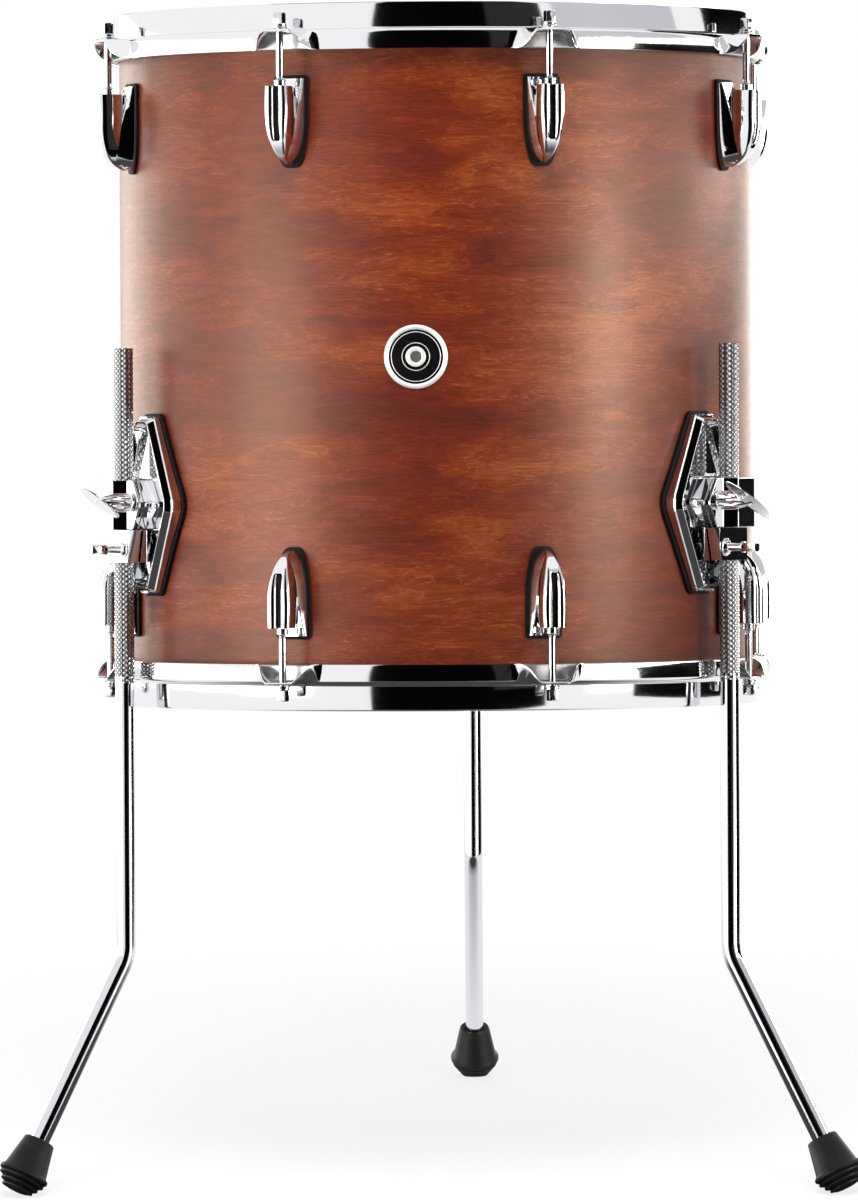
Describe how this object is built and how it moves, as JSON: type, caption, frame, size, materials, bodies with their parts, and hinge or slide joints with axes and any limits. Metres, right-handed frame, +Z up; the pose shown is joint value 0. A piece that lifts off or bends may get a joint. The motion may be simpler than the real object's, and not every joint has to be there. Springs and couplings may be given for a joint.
{
  "type": "floor tom",
  "caption": "Deep wooden drum with a head at each end, pressed hoops on tension rods and bullet lugs, standing on bent legs in clamp brackets with rubber feet.",
  "frame": {"origin": "centre of the bounding box on the floor, under the drum", "axes": "+Z straight up from the floor, -Y towards the badge, +X to the right seen from the badge side; the drum leans back towards +Y"},
  "size_m": [0.5438, 0.493, 0.7503],
  "materials": {
    "shell_wood": "satin stained and lacquered",
    "batter_film": "coated film, matt white",
    "resonant_film": "clear film",
    "hoop_chrome": "mirror chrome",
    "lug_chrome": "mirror chrome on a casting",
    "rod_chrome": "chrome",
    "bracket_chrome": "mirror chrome on a casting",
    "gasket_rubber": "matt black",
    "clamp_chrome": "mirror chrome on a casting",
    "bolt_chrome": "mirror chrome on a casting",
    "lock_chrome": "mirror chrome on a casting",
    "leg_chrome": "chrome, knurled above",
    "foot_rubber": "satin black",
    "badge_enamel": "black enamel in a bright rim",
    "grommet_chrome": "nickel plate"
  },
  "bodies": {
    "drum": {"shell": "shell_wood", "badge": "badge_enamel", "vent_grommet": "grommet_chrome", "batter_head": "batter_film", "batter_hoop": "hoop_chrome", "lug_batter_1": "lug_chrome", "lug_batter_2": "lug_chrome", "lug_batter_3": "lug_chrome", "lug_batter_4": "lug_chrome", "lug_batter_5": "lug_chrome", "lug_batter_6": "lug_chrome", "lug_batter_7": "lug_chrome", "lug_batter_8": "lug_chrome", "resonant_head": "resonant_film", "resonant_hoop": "hoop_chrome", "lug_resonant_1": "lug_chrome", "lug_resonant_2": "lug_chrome", "lug_resonant_3": "lug_chrome", "lug_resonant_4": "lug_chrome", "lug_resonant_5": "lug_chrome", "lug_resonant_6": "lug_chrome", "lug_resonant_7": "lug_chrome", "lug_resonant_8": "lug_chrome", "bracket_gasket_left": "gasket_rubber", "leg_bracket_left": "bracket_chrome", "bracket_gasket_right": "gasket_rubber", "leg_bracket_right": "bracket_chrome", "bracket_gasket_rear": "gasket_rubber", "leg_bracket_rear": "bracket_chrome"},
    "tension_rod_batter_1": {"tension_rod_batter_1": "rod_chrome"},
    "tension_rod_batter_2": {"tension_rod_batter_2": "rod_chrome"},
    "tension_rod_batter_3": {"tension_rod_batter_3": "rod_chrome"},
    "tension_rod_batter_4": {"tension_rod_batter_4": "rod_chrome"},
    "tension_rod_batter_5": {"tension_rod_batter_5": "rod_chrome"},
    "tension_rod_batter_6": {"tension_rod_batter_6": "rod_chrome"},
    "tension_rod_batter_7": {"tension_rod_batter_7": "rod_chrome"},
    "tension_rod_batter_8": {"tension_rod_batter_8": "rod_chrome"},
    "tension_rod_resonant_1": {"tension_rod_resonant_1": "rod_chrome"},
    "tension_rod_resonant_2": {"tension_rod_resonant_2": "rod_chrome"},
    "tension_rod_resonant_3": {"tension_rod_resonant_3": "rod_chrome"},
    "tension_rod_resonant_4": {"tension_rod_resonant_4": "rod_chrome"},
    "tension_rod_resonant_5": {"tension_rod_resonant_5": "rod_chrome"},
    "tension_rod_resonant_6": {"tension_rod_resonant_6": "rod_chrome"},
    "tension_rod_resonant_7": {"tension_rod_resonant_7": "rod_chrome"},
    "tension_rod_resonant_8": {"tension_rod_resonant_8": "rod_chrome"},
    "clamp_jaw_left": {"clamp_jaw_left": "clamp_chrome"},
    "wing_bolt_left": {"wing_bolt_left": "bolt_chrome"},
    "memory_lock_left": {"memory_lock_left": "lock_chrome"},
    "leg_left": {"leg_left": "leg_chrome", "foot_left": "foot_rubber"},
    "clamp_jaw_right": {"clamp_jaw_right": "clamp_chrome"},
    "wing_bolt_right": {"wing_bolt_right": "bolt_chrome"},
    "memory_lock_right": {"memory_lock_right": "lock_chrome"},
    "leg_right": {"leg_right": "leg_chrome", "foot_right": "foot_rubber"},
    "clamp_jaw_rear": {"clamp_jaw_rear": "clamp_chrome"},
    "wing_bolt_rear": {"wing_bolt_rear": "bolt_chrome"},
    "memory_lock_rear": {"memory_lock_rear": "lock_chrome"},
    "leg_rear": {"leg_rear": "leg_chrome", "foot_rear": "foot_rubber"}
  },
  "joints": [
    {"name": "tension_rod_batter_1_turn", "type": "hinge", "parent": "drum", "child": "tension_rod_batter_1", "pos_m": [0.08128, -0.19598, 0.73363], "axis": [0, 0.1011, 0.9949], "continuous": true},
    {"name": "tension_rod_batter_2_turn", "type": "hinge", "parent": "drum", "child": "tension_rod_batter_2", "pos_m": [0.20034, -0.07752, 0.7216], "axis": [0, 0.1011, 0.9949], "continuous": true},
    {"name": "tension_rod_batter_3_turn", "type": "hinge", "parent": "drum", "child": "tension_rod_batter_3", "pos_m": [0.20034, 0.09, 0.70458], "axis": [0, 0.1011, 0.9949], "continuous": true},
    {"name": "tension_rod_batter_4_turn", "type": "hinge", "parent": "drum", "child": "tension_rod_batter_4", "pos_m": [0.08128, 0.20845, 0.69255], "axis": [0, 0.1011, 0.9949], "continuous": true},
    {"name": "tension_rod_batter_5_turn", "type": "hinge", "parent": "drum", "child": "tension_rod_batter_5", "pos_m": [-0.08711, 0.20845, 0.69255], "axis": [0, 0.1011, 0.9949], "continuous": true},
    {"name": "tension_rod_batter_6_turn", "type": "hinge", "parent": "drum", "child": "tension_rod_batter_6", "pos_m": [-0.20617, 0.09, 0.70458], "axis": [0, 0.1011, 0.9949], "continuous": true},
    {"name": "tension_rod_batter_7_turn", "type": "hinge", "parent": "drum", "child": "tension_rod_batter_7", "pos_m": [-0.20617, -0.07752, 0.7216], "axis": [0, 0.1011, 0.9949], "continuous": true},
    {"name": "tension_rod_batter_8_turn", "type": "hinge", "parent": "drum", "child": "tension_rod_batter_8", "pos_m": [-0.08711, -0.19598, 0.73363], "axis": [0, 0.1011, 0.9949], "continuous": true},
    {"name": "tension_rod_resonant_1_turn", "type": "hinge", "parent": "drum", "child": "tension_rod_resonant_1", "pos_m": [0.08128, -0.23733, 0.32652], "axis": [0, -0.1011, -0.9949], "continuous": true},
    {"name": "tension_rod_resonant_2_turn", "type": "hinge", "parent": "drum", "child": "tension_rod_resonant_2", "pos_m": [0.20034, -0.11887, 0.31449], "axis": [0, -0.1011, -0.9949], "continuous": true},
    {"name": "tension_rod_resonant_3_turn", "type": "hinge", "parent": "drum", "child": "tension_rod_resonant_3", "pos_m": [0.20034, 0.04864, 0.29747], "axis": [0, -0.1011, -0.9949], "continuous": true},
    {"name": "tension_rod_resonant_4_turn", "type": "hinge", "parent": "drum", "child": "tension_rod_resonant_4", "pos_m": [0.08128, 0.1671, 0.28544], "axis": [0, -0.1011, -0.9949], "continuous": true},
    {"name": "tension_rod_resonant_5_turn", "type": "hinge", "parent": "drum", "child": "tension_rod_resonant_5", "pos_m": [-0.08711, 0.1671, 0.28544], "axis": [0, -0.1011, -0.9949], "continuous": true},
    {"name": "tension_rod_resonant_6_turn", "type": "hinge", "parent": "drum", "child": "tension_rod_resonant_6", "pos_m": [-0.20617, 0.04864, 0.29747], "axis": [0, -0.1011, -0.9949], "continuous": true},
    {"name": "tension_rod_resonant_7_turn", "type": "hinge", "parent": "drum", "child": "tension_rod_resonant_7", "pos_m": [-0.20617, -0.11887, 0.31449], "axis": [0, -0.1011, -0.9949], "continuous": true},
    {"name": "tension_rod_resonant_8_turn", "type": "hinge", "parent": "drum", "child": "tension_rod_resonant_8", "pos_m": [-0.08711, -0.23733, 0.32652], "axis": [0, -0.1011, -0.9949], "continuous": true},
    {"name": "clamp_jaw_left_open", "type": "slide", "parent": "drum", "child": "clamp_jaw_left", "axis": [-0.8434, -0.5345, 0.0543], "range_m": [0, 0.002]},
    {"name": "wing_bolt_left_turn", "type": "hinge", "parent": "clamp_jaw_left", "child": "wing_bolt_left", "pos_m": [-0.17107, -0.13725, 0.43094], "axis": [-0.8434, -0.5345, 0.0543], "continuous": true},
    {"name": "leg_left_height", "type": "slide", "parent": "drum", "child": "memory_lock_left", "axis": [0, 0.1011, 0.9949], "range_m": [-0.058, 0]},
    {"name": "leg_left_turn", "type": "hinge", "parent": "memory_lock_left", "child": "leg_left", "pos_m": [-0.19485, -0.1336, 0.42906], "axis": [0, 0.1011, 0.9949], "continuous": true},
    {"name": "clamp_jaw_right_open", "type": "slide", "parent": "drum", "child": "clamp_jaw_right", "axis": [0.8434, -0.5345, 0.0543], "range_m": [0, 0.002]},
    {"name": "wing_bolt_right_turn", "type": "hinge", "parent": "clamp_jaw_right", "child": "wing_bolt_right", "pos_m": [0.16524, -0.13725, 0.43094], "axis": [0.8434, -0.5345, 0.0543], "continuous": true},
    {"name": "leg_right_height", "type": "slide", "parent": "drum", "child": "memory_lock_right", "axis": [0, 0.1011, 0.9949], "range_m": [-0.058, 0]},
    {"name": "leg_right_turn", "type": "hinge", "parent": "memory_lock_right", "child": "leg_right", "pos_m": [0.18901, -0.13348, 0.43019], "axis": [0, 0.1011, 0.9949], "continuous": true},
    {"name": "clamp_jaw_rear_open", "type": "slide", "parent": "drum", "child": "clamp_jaw_rear", "axis": [0, 0.9949, -0.1011], "range_m": [0, 0.002]},
    {"name": "wing_bolt_rear_turn", "type": "hinge", "parent": "clamp_jaw_rear", "child": "wing_bolt_rear", "pos_m": [-0.00892, 0.17857, 0.39886], "axis": [0, 0.9949, -0.1011], "continuous": true},
    {"name": "leg_rear_height", "type": "slide", "parent": "drum", "child": "memory_lock_rear", "axis": [0, 0.1011, 0.9949], "range_m": [-0.058, 0]},
    {"name": "leg_rear_turn", "type": "hinge", "parent": "memory_lock_rear", "child": "leg_rear", "pos_m": [0.00708, 0.20084, 0.44008], "axis": [0, 0.1011, 0.9949], "continuous": true}
  ]
}
